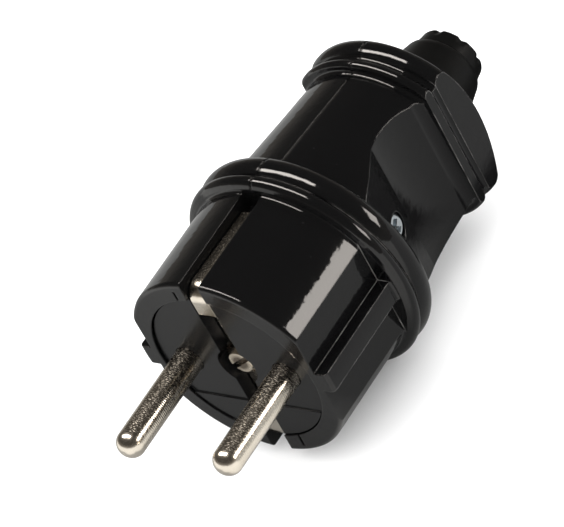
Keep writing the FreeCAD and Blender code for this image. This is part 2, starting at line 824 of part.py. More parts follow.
def earth_terminal():
    """Brass block behind the carrier that takes the earth screw and the earth wire."""
    body = new_body("earth_terminal")
    width = sz.earth_block_width / 2
    block_rear = sz.carrier_length + sz.earth_block_length
    section = new_sketch(body, "block_face", "XZ_Plane", -sz.carrier_length)
    rectangle(section, -width, width, -sz.earth_block_drop, sz.earth_block_rise)
    pad(body, section, "block", sz.earth_block_length, turned=True)
    thread = new_sketch(body, "earth_screw_hole", "XZ_Plane")
    circle(thread, 0, 0, sz.earth_screw_thread / 2 + sz.screw_gap)
    pocket(body, thread, "earth_screw_hole_cut", sz.strip_depth + sz.earth_screw_reach + sz.fit_gap)
    wire = new_sketch(body, "wire_bore", "XZ_Plane", -block_rear)
    circle(wire, 0, -sz.earth_wire_drop, sz.wire_bore / 2)
    pocket(body, wire, "wire_bore_cut", sz.earth_wire_depth, turned=True)
    hole = new_sketch(body, "wire_screw_hole", "XY_Plane", -sz.earth_wire_drop)
    circle(hole, 0, sz.carrier_length + sz.terminal_screw_setback, sz.screw_thread / 2 + sz.screw_gap)
    pocket(body, hole, "wire_screw_hole_cut")
    return body


# Cord clamp and bend relief

def cord_clamp():
    """Saddle that presses the cord into the cradle of the left shell."""
    body = new_body("cord_clamp")
    section = new_sketch(body, "section", "XZ_Plane", -clamp_front)
    outline(section, [(0, clamp_ear), (sz.clamp_thickness, clamp_ear),
                      (sz.clamp_thickness, clamp_foot, (clamp_crown, 0)),
                      (sz.clamp_thickness, -clamp_foot), (sz.clamp_thickness, -clamp_ear), (0, -clamp_ear),
                      (0, -cord_radius, (cord_radius, 0)), (0, cord_radius)])
    pad(body, section, "saddle", sz.clamp_length, turned=True)
    holes = new_sketch(body, "screw_holes", "YZ_Plane")
    for end in (1, -1):
        circle(holes, clamp_middle, clamp_screw_z * end, sz.screw_thread / 2 + sz.screw_gap)
    pocket(body, holes, "screw_holes_cut", turned=True)
    return body


def bend_relief():
    """Soft sleeve round the cord, held at its root by a groove in the shells."""
    body = new_body("bend_relief")
    section = new_sketch(body, "section", "XY_Plane")
    stem = sz.sleeve_stem_diameter / 2
    root = sz.sleeve_root_diameter / 2
    base_front = tail_rear + sz.fit_gap
    ring_y = base_front + sz.sleeve_taper_length
    end_radius = sz.sleeve_end_diameter / 2
    end_y = ring_y + sz.sleeve_end_length
    tip_radius = end_radius - sz.sleeve_end_taper
    tip_round = sz.sleeve_end_round
    outline(section, [(cord_radius, root_front), (root, root_front), (root, root_rear), (stem, root_rear),
                      (stem, base_front), (sz.sleeve_base_diameter / 2, base_front),
                      (sz.sleeve_ring_diameter / 2, ring_y), (end_radius, ring_y),
                      rounded(tip_radius, end_y - tip_round, tip_radius - tip_round, end_y,
                              tip_radius, end_y),
                      (tip_radius - tip_round, end_y), (cord_radius, end_y)])
    revolve(body, section, "sleeve")
    notch = new_sketch(body, "notch", "XZ_Plane", -end_y)
    half = sz.sleeve_notch_width / 2
    rectangle(notch, -half, half, cord_radius + (tip_radius - cord_radius) / 2, end_radius)
    cut = pocket(body, notch, "notch_cut", sz.sleeve_notch_depth, turned=True)
    ring = body.newObject("PartDesign::PolarPattern", "notches")
    ring.Originals = [cut]
    ring.Axis = (notch, ["N_Axis"])
    ring.Angle = 360.0
    ring.Occurrences = NOTCH_COUNT
    body.Tip = ring
    return body


PIECES = [
    left_half_shell(),
    right_half_shell(),
    pin_carrier(),
    contact_pin("left_pin", -1),
    contact_pin("right_pin", 1),
    terminal_screws(),
    earth_strip(),
    earth_washer(),
    earth_screw(),
    earth_terminal(),
    housing_screw(),
    housing_nut(),
    cord_clamp(),
    clamp_screws(),
    bend_relief(),
]
doc.recompute()

for item in doc.Objects:
    if "Invalid" in item.State or "Error" in item.State:
        raise RuntimeError("%s failed: %s" % (item.Name, item.State))
for piece in PIECES:
    if piece.Shape.isNull() or not piece.Shape.isValid():
        raise RuntimeError("%s has no valid shape" % piece.Label)

os.makedirs("parts", exist_ok=True)
for piece in PIECES:
    piece.Shape.exportStep(os.path.join("parts", piece.Label + ".step"))
    print("%-18s solids %d  volume %9.1f" % (piece.Label, len(piece.Shape.Solids), piece.Shape.Volume))
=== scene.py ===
import math

import bmesh
import bpy
from bpy.props import BoolProperty, FloatProperty, FloatVectorProperty, IntProperty, PointerProperty
from mathutils import Matrix, Vector


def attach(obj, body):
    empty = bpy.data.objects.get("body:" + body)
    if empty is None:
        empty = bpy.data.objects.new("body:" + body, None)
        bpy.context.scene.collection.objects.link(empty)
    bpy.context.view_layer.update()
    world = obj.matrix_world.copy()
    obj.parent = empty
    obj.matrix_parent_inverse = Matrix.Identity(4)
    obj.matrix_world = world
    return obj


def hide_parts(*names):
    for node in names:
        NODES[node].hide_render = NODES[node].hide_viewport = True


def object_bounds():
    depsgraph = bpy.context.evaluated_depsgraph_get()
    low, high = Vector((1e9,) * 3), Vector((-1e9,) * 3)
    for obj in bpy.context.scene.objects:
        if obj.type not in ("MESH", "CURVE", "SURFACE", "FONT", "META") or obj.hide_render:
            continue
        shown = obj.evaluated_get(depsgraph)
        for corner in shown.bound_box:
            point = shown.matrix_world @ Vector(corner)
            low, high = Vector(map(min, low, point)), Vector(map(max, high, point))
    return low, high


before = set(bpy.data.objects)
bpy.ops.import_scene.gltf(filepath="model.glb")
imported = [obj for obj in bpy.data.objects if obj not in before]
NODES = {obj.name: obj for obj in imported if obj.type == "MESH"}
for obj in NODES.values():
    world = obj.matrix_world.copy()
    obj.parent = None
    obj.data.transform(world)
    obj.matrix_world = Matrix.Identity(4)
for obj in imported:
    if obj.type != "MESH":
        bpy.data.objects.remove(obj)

bl_info = {
    "name": "Earthed Plug",
    "version": (1, 0, 0),
    "blender": (4, 5, 0),
    "location": "View3D > Sidebar > Plug",
    "description": "Finishes and fittings of a rewirable earthed plug, and the stage it is shown on",
    "category": "Object",
}

CAD_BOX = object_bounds()
MM = 0.001

# Stations of the plug that the fittings are set by, in millimetres as in the part's source
PIN_REACH = 9.5
TERMINAL_RADIUS = 3.7
TERMINAL_SCREW_Y = 15.4
EARTH_BLOCK_DROP = 5.6
EARTH_SCREW_Y = 2.5
CLAMP_MIDDLE = 42.9
CLAMP_SEAT = 2.0
CLAMP_SCREW_Z = 8.264
HOUSING_SCREW_Y = 31.2
HOUSING_SEAT = 9.3
HOUSING_NUT = 2.2

# Turns of the screws' slots, in degrees
EARTH_SLOT_TURN = 33.0
HOUSING_CROSS_TURN = 45.0

# Stations, radii and edges of the sleeve, in millimetres
SLEEVE_ROOT_FRONT = 49.75
SLEEVE_ROOT_REAR = 52.75
SLEEVE_BASE = 57.8
SLEEVE_RING = 65.2
SLEEVE_END = 68.4
SLEEVE_ROOT_RADIUS = 9.0
SLEEVE_STEM_RADIUS = 7.0
SLEEVE_BASE_RADIUS = 8.5
SLEEVE_RING_RADIUS = 6.4
SLEEVE_END_RADIUS = 5.8
SLEEVE_ROOT_EDGE = 0.28
SLEEVE_BASE_EDGE = (0.1, 0.12)
SLEEVE_RING_EDGE = ((0.0, 0.35), (0.06, 0.12), (0.2, 0.0))
SLEEVE_TIP_FOOT = ((0.16, 0.0), (0.03, 0.1))
SLEEVE_BORE_EDGE = 0.15
SLEEVE_HOLLOW = 0.15
SLEEVE_TAPER = 0.3
SLEEVE_CROWN = 0.75
SLEEVE_CROWN_DROP = 0.6
NOTCH_WALL = 0.3

# Angle past which the sleeve's edges stay sharp, in radians, and power that narrows its scallops
SLEEVE_CREASE = math.radians(38)
NOTCH_SHARPNESS = 2.5

# Where the shells' edges are lightened, partly by the rub of hands and partly as painted highlight, off the
# middle and behind the rim, and where the pins' worn ends fade in, in millimetres
WEAR_AND_HIGHLIGHT_SIDE = (10.95, 12.0)
WEAR_AND_HIGHLIGHT_BACK = (0.6, 1.0)
PIN_END_FADE = (-16.2, -17.31)

# Floor that only polished parts mirror: where its painted reflections of white cards and its painted shade
# under the plug's rear fade in, in millimetres
PAINTED_SIDE_REFLECTION_ACROSS = (6.0, 14.0)
PAINTED_SIDE_REFLECTION_ALONG = (14.0, 4.0)
PAINTED_FRONT_REFLECTION_ALONG = (-35.0, -40.0)
PAINTED_SHADE_ACROSS = (25.5, 22.36)
PAINTED_SHADE_ALONG = (48.0, 54.0)

# Share of the mirrored floor's colour left in the painted shade under the plug's rear, and of the floor's own
# colour where it is darkest
PAINTED_SHADE_SHARE = 0.1
FLOOR_DRIFT = 0.985

# Radians that Blender's wave texture turns through in one unit of its scale
WAVE_TURN = 20.0

# Point that the softboxes are turned to, in metres
LIGHT_TARGET = (0.0, 0.01, 0.0)

# Camera fitted to the photograph: width and focal length in pixels, turn in radians, shift in millimetres
IMAGE_WIDTH = 564
CAMERA_FOCUS = 4718.0
CAMERA_TURN = (2.30243744, 0.451694319, -0.753066353)
CAMERA_SHIFT = (-6.94991152, 15.9534439, 712.850846)


# Node trees

class Signal:
    """One output in a node tree. Sums of signals and numbers add Math nodes."""

    def __init__(self, tree, socket):
        self.tree = tree
        self.socket = socket

    def combined(self, operation, first, second):
        return self.tree.node("ShaderNodeMath", {"operation": operation}, {0: first, 1: second})

    def __add__(self, other):
        return self.combined("ADD", self, other)

    def __radd__(self, other):
        return self.combined("ADD", other, self)

    def __sub__(self, other):
        return self.combined("SUBTRACT", self, other)

    def __rsub__(self, other):
        return self.combined("SUBTRACT", other, self)

    def __mul__(self, other):
        return self.combined("MULTIPLY", self, other)

    def __truediv__(self, other):
        return self.combined("DIVIDE", self, other)

    def __lt__(self, other):
        return self.combined("LESS_THAN", self, other)

    def __gt__(self, other):
        return self.combined("GREATER_THAN", self, other)


class NodeTree:
    """A node tree that is written down as calls and sums."""

    def __init__(self, tree):
        self.tree = tree
        self.tree.nodes.clear()

    def node(self, kind, settings=None, inputs=None, output=0):
        """Add one node: its settings first, then the values or links of its sockets."""
        made = self.tree.nodes.new(kind)
        for name, value in (settings or {}).items():
            if name == "stops":
                self.set_stops(made.color_ramp, value)
            else:
                setattr(made, name, value)
        for name, value in (inputs or {}).items():
            for source in value if isinstance(value, list) else [value]:
                self.feed(made.inputs[name], source)
        return Signal(self, made.outputs[output])

    def feed(self, socket, source):
        if isinstance(source, Signal):
            self.tree.links.new(source.socket, socket)
        else:
            socket.default_value = source

    @staticmethod
    def set_stops(ramp, stops):
        while len(ramp.elements) < len(stops):
            ramp.elements.new(1.0)
        for element, (position, level) in zip(ramp.elements, stops):
            element.position = position
            element.color = (level, level, level, 1.0)


class Finish(NodeTree):
    """A material made from noise and waves laid over the object's own coordinates."""

    def __init__(self, name):
        self.material = bpy.data.materials.new(name)
        self.material.use_nodes = True
        super().__init__(self.material.node_tree)
        self.place = self.node("ShaderNodeTexCoord", output="Object")

    def axis(self, name):
        return self.node("ShaderNodeSeparateXYZ", inputs={"Vector": self.place}, output=name)

    def stretched(self, scale, turn=(0.0, 0.0, 0.0)):
        return self.node("ShaderNodeMapping", inputs={"Vector": self.place, "Scale": scale, "Rotation": turn})

    def noise(self, size, detail=2.0, roughness=0.5, place=None):
        """Soft noise whose lumps are about the given size in metres."""
        return self.node("ShaderNodeTexNoise", inputs={
            "Vector": place or self.place, "Scale": 1.0 / size, "Detail": detail, "Roughness": roughness})

    def specks(self, size):
        """Distance from the nearest of many scattered points, in shares of their spacing."""
        return self.node("ShaderNodeTexVoronoi", inputs={
            "Vector": self.place, "Scale": 1.0 / size}, output="Distance")

    def ramp(self, value, *stops):
        return self.node("ShaderNodeValToRGB", {"stops": stops}, {"Fac": value})

    def slope(self, value, start, stop):
        """Nought before the start, one past the stop, and a straight rise from one to the other."""
        return self.ramp((value - start) / (stop - start), (0.0, 0.0), (1.0, 1.0))

    def fade(self, axis, span):
        """A slope along one axis, over a span in millimetres."""
        return self.slope(self.axis(axis), span[0] * MM, span[1] * MM)

    def fade_aside(self, span):
        """A slope to both sides of the middle plane, over a span in millimetres."""
        across = self.axis("X")
        return self.slope(across * across, (span[0] * MM) ** 2, (span[1] * MM) ** 2)

    def blend(self, share, first, second):
        """A colour between two others."""
        return self.node("ShaderNodeMix", {"data_type": "RGBA"}, {0: share, 6: first, 7: second}, output=2)

    def rounded_edges(self, radius):
        return self.node("ShaderNodeBevel", {"samples": 6}, {"Radius": radius})

    def edges(self, rounded):
        """Nought on plain faces, and up to about a third on edges, where the rounded normal leans away."""
        facing = self.node("ShaderNodeNewGeometry", output="True Normal")
        return 1.0 - self.node("ShaderNodeVectorMath", {"operation": "DOT_PRODUCT"}, {0: rounded, 1: facing},
                               output="Value")

    def bump(self, height, depth, normal=None):
        inputs = {"Height": height, "Distance": depth, "Strength": 1.0}
        if normal is not None:
            inputs["Normal"] = normal
        return self.node("ShaderNodeBump", inputs=inputs)

    def surface(self, **inputs):
        """Close the tree with one shader. Its sockets are named in lower case with underscores."""
        named = {name.replace("_", " ").title().replace("Ior", "IOR"): value
                 for name, value in inputs.items()}
        shader = self.node("ShaderNodeBsdfPrincipled", inputs=named)
        self.node_output(shader)
        return self.material

    def node_output(self, shader):
        end = self.tree.nodes.new("ShaderNodeOutputMaterial")
        self.tree.links.new(shader.socket, end.inputs["Surface"])


def colour(values):
    return (values[0], values[1], values[2], 1.0)


# Finishes

def glossy_shell(look):
    """Polished black moulding: slow waves in the wall, haze, outer edges lightened partly by wear and partly
    as painted highlight, and a grained front rim.
    """
    finish = Finish("glossy_black_shell")
    haze = finish.noise(0.016, 5.0, 0.62)
    waves = finish.noise(0.0065, 1.5)
    ripple = finish.noise(0.0013, 1.0)
    grain = finish.noise(0.00016, 2.0)
    rub = finish.noise(0.0009, 3.0, 0.6, finish.stretched((1.0, 0.06, 1.0), (0.2, 0.0, 0.5)))
    scuffs = finish.ramp(rub, (0.66, 0.0), (0.74, 1.0))
    lint = (finish.specks(0.0021) < 0.022) * (finish.noise(0.02, 1.0) > 0.52)
    rim = finish.axis("Y") < look.rim_depth
    tone = finish.blend(haze, colour(look.tint), colour([1.6 * part for part in look.tint]))
    tone = finish.blend(lint * 0.35, tone, (0.16, 0.155, 0.15, 1.0))
    rounded = finish.rounded_edges(look.edge_round)
    wear_and_highlight_zone = finish.fade_aside(WEAR_AND_HIGHLIGHT_SIDE) * finish.fade("Y", WEAR_AND_HIGHLIGHT_BACK)
    patches = finish.ramp(finish.noise(0.004, 2.0), (0.42, 0.15), (0.6, 1.0))
    # Lighter colour on the side edges: partly rubbed wear, partly painted edge highlight
    worn = finish.ramp(finish.edges(rounded), (0.02, 0.0), (0.12, 1.0)) * wear_and_highlight_zone * patches
    tone = finish.blend(worn, tone, colour(look.edge_wear_and_highlight))
    gloss = look.gloss + haze * 0.05 + scuffs * 0.05 + lint * 0.3
    roughness = gloss + rim * (look.rim_roughness - look.gloss)
    height = waves * 0.8 + ripple * 0.45 + rim * grain * 0.05 + scuffs * 0.006
    normal = finish.bump(height, look.wave_depth, rounded)
    return finish.surface(base_color=tone, roughness=roughness, normal=normal, specular_ior_level=look.sheen)


def grained_carrier(look):
    """Semi-matte black moulding with the fine grain of a spark-cut tool."""
    finish = Finish("grained_black_carrier")
    grain = finish.noise(0.00016, 2.0)
    haze = finish.noise(0.006, 4.0, 0.6)
    flow = finish.noise(0.004, 2.0, 0.5, finish.stretched((1.0, 1.0, 0.25)))
    tone = finish.blend(haze, colour(look.tint), colour([1.9 * part for part in look.tint]))
    roughness = look.roughness + haze * 0.08 + grain * 0.05
    height = grain * 0.12 + flow * 0.5
    normal = finish.bump(height, look.grain_depth, finish.rounded_edges(look.edge_round))
    return finish.surface(base_color=tone, roughness=roughness, normal=normal, specular_ior_level=look.sheen)


def turned_nickel(look):
    """Nickel plate over turned brass: rings and torn spots round the pin, rub marks along it, a worn end."""
    finish = Finish("nickel_plated_pin")
    rings = finish.node("ShaderNodeTexWave", {"bands_direction": "Y"},
                        {"Vector": finish.place, "Scale": math.tau / (WAVE_TURN * look.ring_pitch),
                         "Distortion": 2.5, "Detail": 2.0, "Detail Scale": 1.5}, output="Fac")
    flecks = finish.noise(0.00013, 1.0, 0.5, finish.stretched((0.35, 1.0, 0.35)))
    torn = finish.ramp(flecks, (0.46, 0.0), (0.66, 1.0))
    pits = finish.noise(0.00022, 3.0, 0.7)
    rub = finish.noise(0.0006, 4.0, 0.65, finish.stretched((1.0, 0.05, 1.0)))
    cloud = finish.noise(0.0035, 3.0, 0.6)
    worn = finish.ramp(rub, (0.58, 0.0), (0.7, 1.0))
    tone = finish.blend(cloud, colour(look.dull), colour(look.bright))
    tone = finish.blend(worn * 0.35, tone, colour(look.dull))
    end = finish.fade("Y", PIN_END_FADE)
    roughness = look.roughness + cloud * 0.04 + worn * 0.08 + torn * (1.0 - end) * look.torn + end * 0.08
    height = (rings * 0.7 + pits * 0.3) * (1.0 - end * 0.7)
    normal = finish.bump(height, look.ring_depth)
    return finish.surface(base_color=tone, metallic=1.0, roughness=roughness, normal=normal)


def rolled_nickel(look):
    """Nickel plate on rolled strip, with drawing lines along it, stains and torn spots."""
    finish = Finish("nickel_plated_strip")
    lines = finish.noise(0.00012, 2.0, 0.6, finish.stretched((1.0, 0.03, 0.03)))
    cloud = finish.noise(0.003, 3.0, 0.6)
    stain = finish.ramp(finish.noise(0.0014, 4.0, 0.7), (0.6, 0.0), (0.75, 1.0))
    tone = finish.blend(cloud, colour(look.dull), colour(look.bright))
    tone = finish.blend(stain * 0.3, tone, (0.30, 0.27, 0.22, 1.0))
    pits = finish.noise(0.0002, 2.0, 0.6)
    torn = finish.ramp(finish.noise(0.00016, 1.0), (0.46, 0.0), (0.66, 1.0))
    roughness = look.roughness + cloud * 0.05 + lines * 0.05 + torn * 0.12
    normal = finish.bump(lines * 0.3 + pits * 0.7, look.ring_depth * 2.2, finish.rounded_edges(0.00012))
    return finish.surface(base_color=tone, metallic=1.0, roughness=roughness, normal=normal)


def plated_steel(name, look, tint, drifted, painted_shade_radius=0.0):
    """Plated screw steel: tool marks, a faint drift of tint, and painted shade round the part's axis."""
    finish = Finish(name)
    cloud = finish.noise(0.0018, 3.0, 0.6)
    marks = finish.noise(0.0002, 3.0, 0.65)
    drift = finish.noise(0.0009, 2.0)
    grime = finish.ramp(finish.noise(0.0007, 4.0, 0.7), (0.56, 0.0), (0.72, 1.0))
    tone = finish.blend(drift, colour(tint), colour(drifted))
    tone = finish.blend(grime * 0.6, tone, (0.10, 0.09, 0.075, 1.0))
    if painted_shade_radius:
        # Painted shade: the middle of the head round the slot is darkened towards the soil colour
        across, up = finish.axis("X") / painted_shade_radius, finish.axis("Z") / painted_shade_radius
        middle = finish.ramp(across * across + up * up + (drift - 0.5) * 0.5, (0.35, 1.0), (0.85, 0.0))
        tone = finish.blend(middle * 0.85, tone, colour(look.soil_and_painted_shade))
    roughness = look.roughness + cloud * 0.12 + grime * 0.15
    normal = finish.bump(marks, look.mark_depth, finish.rounded_edges(0.00015))
    return finish.surface(base_color=tone, metallic=1.0, roughness=roughness, normal=normal)


def drawn_brass(look):
    """Plain drawn brass that has begun to darken."""
    finish = Finish("drawn_brass")
    cloud = finish.noise(0.0025, 4.0, 0.6)
    lines = finish.noise(0.00015, 2.0, 0.6, finish.stretched((0.05, 1.0, 1.0)))
    tone = finish.blend(cloud, (0.74, 0.54, 0.24, 1.0), (0.50, 0.33, 0.14, 1.0))
    roughness = 0.26 + cloud * 0.2 + lines * 0.06
    normal = finish.bump(lines, look.mark_depth, finish.rounded_edges(0.00015))
    return finish.surface(base_color=tone, metallic=1.0, roughness=roughness, normal=normal)


def moulded_clamp(look):
    """Matte dark grey moulding of the cord clamp."""
    finish = Finish("matte_clamp_moulding")
    grain = finish.noise(0.00022, 2.0)
    haze = finish.noise(0.004, 3.0)
    tone = finish.blend(haze, (0.030, 0.030, 0.031, 1.0), (0.048, 0.048, 0.049, 1.0))
    normal = finish.bump(grain, look.grain_depth * 2, finish.rounded_edges(look.edge_round))
    return finish.surface(base_color=tone, roughness=0.42 + grain * 0.1, normal=normal)


def soft_rubber(look):
    """Matte black rubber with a fine grain and a faint grey bloom."""
    finish = Finish("matte_black_rubber")
    grain = finish.noise(0.00025, 3.0, 0.6)
    bloom = finish.noise(0.0045, 5.0, 0.65)
    dust = (finish.specks(0.0012) < 0.05) * (finish.noise(0.006, 2.0) > 0.5)
    tone = finish.blend(bloom, colour(look.tint), colour([2.1 * part for part in look.tint]))
    tone = finish.blend(dust * 0.3, tone, (0.13, 0.12, 0.11, 1.0))
    roughness = look.roughness + bloom * 0.12 + dust * 0.1
    normal = finish.bump(grain + bloom * 0.5, look.grain_depth, finish.rounded_edges(0.0002))
    return finish.surface(base_color=tone, roughness=roughness, normal=normal, specular_ior_level=look.sheen)


def dress(node, material):
    """Give a node of the model its finish."""
    slots = NODES[node].data.materials
    slots.clear()
    slots.append(material)


# Meshes

def new_piece(name, mesh, material, nodes):
    """A piece that stands for nodes of the model."""
    piece = bpy.data.objects.new(name, mesh)
    bpy.context.scene.collection.objects.link(piece)
    mesh.materials.clear()
    mesh.materials.append(material)
    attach(piece, "root")
    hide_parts(*nodes)


class ScrewRecipe(NodeTree):
    """Geometry nodes that set a slotted or cross-cut screw, thread and all, on every point they are given."""

    SIZES = ("Head Diameter", "Head Height", "Head Chamfer", "Shank Diameter", "Reach", "Slot Length",
             "Slot Width", "Slot Depth", "Slot Turn", "Thread Pitch", "Thread Height")
    HEAD_SIDES = 56
    SHANK_SIDES = 32
    THREAD_STEPS = 24
    THREAD_SHARE = 0.86
    THREAD_START = 0.97
    CREASE = math.radians(32)

    def __init__(self):
        tree = bpy.data.node_groups.new("screw_set", "GeometryNodeTree")
        face = tree.interface
        face.new_socket("Points", in_out="INPUT", socket_type="NodeSocketGeometry")
        for label in self.SIZES:
            face.new_socket(label, in_out="INPUT", socket_type="NodeSocketFloat")
        face.new_socket("Crossed", in_out="INPUT", socket_type="NodeSocketBool")
        face.new_socket("Finish", in_out="INPUT", socket_type="NodeSocketMaterial")
        face.new_socket("Screws", in_out="OUTPUT", socket_type="NodeSocketGeometry")
        super().__init__(tree)
        self.entry = tree.nodes.new("NodeGroupInput")
        self.exit = tree.nodes.new("NodeGroupOutput")
        self.build()

    def given(self, label):
        return Signal(self, self.entry.outputs[label])

    def offset(self, x=0.0, y=0.0, z=0.0):
        return self.node("ShaderNodeCombineXYZ", inputs={"X": x, "Y": y, "Z": z})

    def moved(self, geometry, z, turn=None):
        inputs = {"Geometry": geometry, "Translation": self.offset(z=z)}
        if turn is not None:
            inputs["Rotation"] = self.offset(z=turn)
        return self.node("GeometryNodeTransform", inputs=inputs)

    def rod(self, radius, depth, sides):
        return self.node("GeometryNodeMeshCylinder", inputs={
            "Vertices": sides, "Radius": radius, "Depth": depth})

    def slot_block(self, turn):
        depth = self.given("Slot Depth")
        size = self.node("ShaderNodeCombineXYZ", inputs={
            "X": self.given("Slot Length"), "Y": self.given("Slot Width"), "Z": depth * 2})
        block = self.node("GeometryNodeMeshCube", inputs={"Size": size})
        return self.moved(block, self.given("Head Height"), turn)

    def body(self):
        """Head, chamfer and shank as one solid, cut by one slot or two."""
        height = self.given("Head Height")
        chamfer = self.given("Head Chamfer")
        radius = self.given("Head Diameter") / 2
        reach = self.given("Reach")
        straight = height - chamfer
        head = self.moved(self.rod(radius, straight, self.HEAD_SIDES), straight / 2)
        top = self.node("GeometryNodeMeshCone", inputs={
            "Vertices": self.HEAD_SIDES, "Radius Top": radius - chamfer, "Radius Bottom": radius,
            "Depth": chamfer})
        shank = self.moved(self.rod(self.given("Shank Diameter") / 2, reach, self.SHANK_SIDES), reach / -2)
        solid = self.node("GeometryNodeMeshBoolean", {"operation": "UNION", "solver": "EXACT"},
                          {1: [head, self.moved(top, straight), shank]})
        turn = self.given("Slot Turn")
        crossing = self.node("GeometryNodeSwitch", {"input_type": "GEOMETRY"}, {
            "Switch": self.given("Crossed"), "True": self.slot_block(turn + math.pi / 2)})
        return self.node("GeometryNodeMeshBoolean", {"operation": "DIFFERENCE", "solver": "EXACT"},
                         {0: solid, 1: [self.slot_block(turn), crossing]})

    def thread(self):
        """A ridge that winds down the shank."""
        reach = self.given("Reach")
        length = reach * self.THREAD_SHARE
        radius = self.given("Shank Diameter") / 2
        helix = self.node("GeometryNodeCurveSpiral", inputs={
            "Resolution": self.THREAD_STEPS, "Rotations": length / self.given("Thread Pitch"),
            "Start Radius": radius, "End Radius": radius, "Height": length})
        ridge = self.node("GeometryNodeCurvePrimitiveCircle", inputs={
            "Resolution": 4, "Radius": self.given("Thread Height")})
        swept = self.node("GeometryNodeCurveToMesh", inputs={
            "Curve": helix, "Profile Curve": ridge, "Fill Caps": True})
        return self.moved(swept, reach * -self.THREAD_START)

    def build(self):
        whole = self.node("GeometryNodeJoinGeometry", inputs={"Geometry": [self.body(), self.thread()]})
        lean = self.node("GeometryNodeInputNamedAttribute", {"data_type": "FLOAT_VECTOR"}, {"Name": "lean"})
        turn = self.node("FunctionNodeEulerToRotation", inputs={"Euler": lean})
        placed = self.node("GeometryNodeInstanceOnPoints", inputs={
            "Points": self.given("Points"), "Instance": whole, "Rotation": turn})
        real = self.node("GeometryNodeRealizeInstances", inputs={"Geometry": placed})
        smooth = self.node("GeometryNodeSetShadeSmooth", {"domain": "FACE"}, {
            "Geometry": real, "Shade Smooth": True})
        sharp = self.node("GeometryNodeInputMeshEdgeAngle", output="Unsigned Angle") > self.CREASE
        edged = self.node("GeometryNodeSetShadeSmooth", {"domain": "EDGE"}, {
            "Geometry": smooth, "Selection": sharp, "Shade Smooth": False})
        done = self.node("GeometryNodeSetMaterial", inputs={
            "Geometry": edged, "Material": self.given("Finish")})
        self.feed(self.exit.inputs["Screws"], done)

    def screws(self, name, places, lean, sizes, crossed, material):
        """A plain mesh of screws at the places, leaning by the turn, from the sizes in millimetres."""
        points = bpy.data.meshes.new(name + "_points")
        points.from_pydata([[MM * part for part in place] for place in places], [], [])
        turns = points.attributes.new("lean", "FLOAT_VECTOR", "POINT")
        for item in turns.data:
            item.vector = lean
        carrier = bpy.data.objects.new(name + "_points", points)
        bpy.context.scene.collection.objects.link(carrier)
        modifier = carrier.modifiers.new("screws", "NODES")
        modifier.node_group = self.tree
        identifiers = {item.name: item.identifier for item in self.tree.interface.items_tree
                       if item.in_out == "INPUT"}
        for label in self.SIZES:
            value = sizes[label]
            modifier[identifiers[label]] = value if label == "Slot Turn" else value * MM
        modifier[identifiers["Crossed"]] = crossed
        modifier[identifiers["Finish"]] = material
        view = bpy.context.evaluated_depsgraph_get()
        view.update()
        mesh = bpy.data.meshes.new_from_object(carrier.evaluated_get(view))
        mesh.name = name
        bpy.data.objects.remove(carrier)
        if not mesh.polygons:
            raise RuntimeError("%s came out empty" % name)
        return mesh


def sleeve_profile(look):
    """Radius and station of the sleeve from the bore's front edge round the outside to its rear edge."""
    bore = look.bore / 2 / MM
    root, stem, base = SLEEVE_ROOT_RADIUS, SLEEVE_STEM_RADIUS, SLEEVE_BASE_RADIUS
    ring, end, edge = SLEEVE_RING_RADIUS, SLEEVE_END_RADIUS, SLEEVE_ROOT_EDGE
    tip = SLEEVE_RING + SLEEVE_TIP_FOOT[-1][1]
    crown = SLEEVE_END - SLEEVE_CROWN
    cut, back = SLEEVE_BASE_EDGE
    points = [(bore, SLEEVE_ROOT_FRONT), (root - edge, SLEEVE_ROOT_FRONT), (root, SLEEVE_ROOT_FRONT + edge),
              (root, SLEEVE_ROOT_REAR - edge), (root - edge, SLEEVE_ROOT_REAR), (stem, SLEEVE_ROOT_REAR),
              (stem, SLEEVE_BASE), (base - cut, SLEEVE_BASE), (base, SLEEVE_BASE + back)]
    cone_steps, tip_steps, crown_steps = 14, 12, 6
    for step in range(1, cone_steps):
        share = step / cone_steps
        points.append((base + (ring - base) * share - SLEEVE_HOLLOW * math.sin(math.pi * share),
                       SLEEVE_BASE + (SLEEVE_RING - SLEEVE_BASE) * share))
    points += [(ring - cut, SLEEVE_RING - back) for cut, back in SLEEVE_RING_EDGE]
    points += [(end + swell, SLEEVE_RING + along) for swell, along in SLEEVE_TIP_FOOT]
    for step in range(1, tip_steps + 1):
        share = step / tip_steps
        points.append((end - SLEEVE_TAPER * share, tip + (crown - tip) * share))
    for step in range(1, crown_steps + 1):
        turn = math.pi / 2 * step / crown_steps
        points.append((end - SLEEVE_TAPER - SLEEVE_CROWN_DROP * (1 - math.cos(turn)),
                       crown + SLEEVE_CROWN * math.sin(turn)))
    points.append((bore + SLEEVE_BORE_EDGE, SLEEVE_END))
    points.append((bore, SLEEVE_END - SLEEVE_BORE_EDGE))
    return points


def sleeve_mesh(look):
    """Lathe of the sleeve, scalloped round its end."""
    sides = look.sides
    depth = look.notch_depth / MM
    bore = look.bore / 2 / MM
    profile = sleeve_profile(look)
    form = bmesh.new()
    rings = []
    for radius, station in profile:
        reach = max(0.0, (station - (SLEEVE_END - depth)) / depth)
        outside = radius > bore + NOTCH_WALL
        ring = []
        for side in range(sides):
            turn = 2 * math.pi * side / sides
            wave = max(0.0, math.cos(look.notches * turn)) ** NOTCH_SHARPNESS
            dip = look.notch_cut / MM * wave * reach if outside else 0.0
            local = MM * (radius - dip)
            ring.append(form.verts.new((local * math.cos(turn), MM * station, local * math.sin(turn))))
        rings.append(ring)
    for ring, following in zip(rings, rings[1:] + rings[:1]):
        for side in range(sides):
            beside = (side + 1) % sides
            form.faces.new((ring[side], ring[beside], following[beside], following[side]))
    bmesh.ops.recalc_face_normals(form, faces=form.faces)
    mesh = bpy.data.meshes.new("bend_sleeve")
    form.to_mesh(mesh)
    form.free()
    mesh.shade_smooth()
    mesh.set_sharp_from_angle(angle=SLEEVE_CREASE)
    return mesh


# Settings

